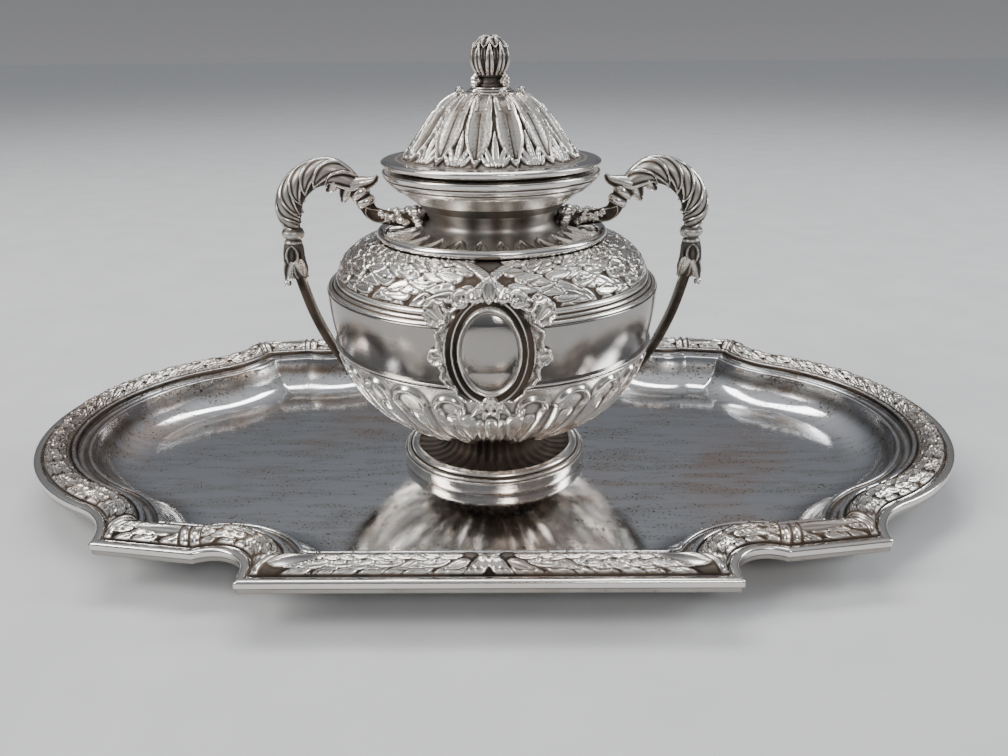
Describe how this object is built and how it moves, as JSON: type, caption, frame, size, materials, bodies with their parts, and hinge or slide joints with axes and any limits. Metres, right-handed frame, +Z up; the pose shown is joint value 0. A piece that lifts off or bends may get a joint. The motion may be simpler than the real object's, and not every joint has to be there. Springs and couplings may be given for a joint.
{
  "type": "desk inkstand",
  "caption": "Two-handled covered urn with a glass ink liner and a lift-off lid, standing on a shaped tray with a garland border.",
  "frame": {"origin": "centre of the tray's flat underside, on the surface it stands on", "axes": "+X along the tray's long axis, towards the right-hand handle; -Y towards the front medallion; +Z up"},
  "size_m": [0.231, 0.1472, 0.1052],
  "materials": {
    "tray_silver": "satin, finely scratched, slightly tarnished silver",
    "polished_silver": "polished silver",
    "chased_silver": "chased silver, dark in the recesses",
    "clear_glass": "clear glass"
  },
  "bodies": {
    "tray": {"tray_dish": "tray_silver", "tray_border": "chased_silver", "edge_band": "polished_silver"},
    "vase": {"foot_ring": "polished_silver", "foot_stem": "chased_silver", "bowl": "chased_silver", "belt_band": "polished_silver", "belt_bead": "polished_silver", "shoulder": "chased_silver", "neck_ring": "polished_silver", "neck": "chased_silver", "rim_ring": "polished_silver", "cartouche_front": "chased_silver", "medallion_front": "polished_silver", "cartouche_back": "chased_silver", "medallion_back": "polished_silver", "handle_scroll_left": "chased_silver", "handle_scroll_right": "chased_silver", "handle_arm_left": "chased_silver", "handle_arm_right": "chased_silver"},
    "glass": {"ink_glass": "clear_glass"},
    "lid": {"lid_flange": "polished_silver", "lid_bezel": "polished_silver", "lid_dome": "chased_silver", "crown_ring": "chased_silver", "finial_collar": "chased_silver", "finial_bud": "chased_silver", "finial_stud": "chased_silver", "finial_nut": "chased_silver"}
  },
  "joints": [
    {"name": "vase_lift", "type": "slide", "parent": "tray", "child": "vase", "axis": [0, 0, 1], "range_m": [0, 0.12]},
    {"name": "glass_lift", "type": "slide", "parent": "vase", "child": "glass", "axis": [0, 0, 1], "range_m": [0, 0.06]},
    {"name": "lid_lift", "type": "slide", "parent": "glass", "child": "lid", "axis": [0, 0, 1], "range_m": [0, 0.06]}
  ]
}
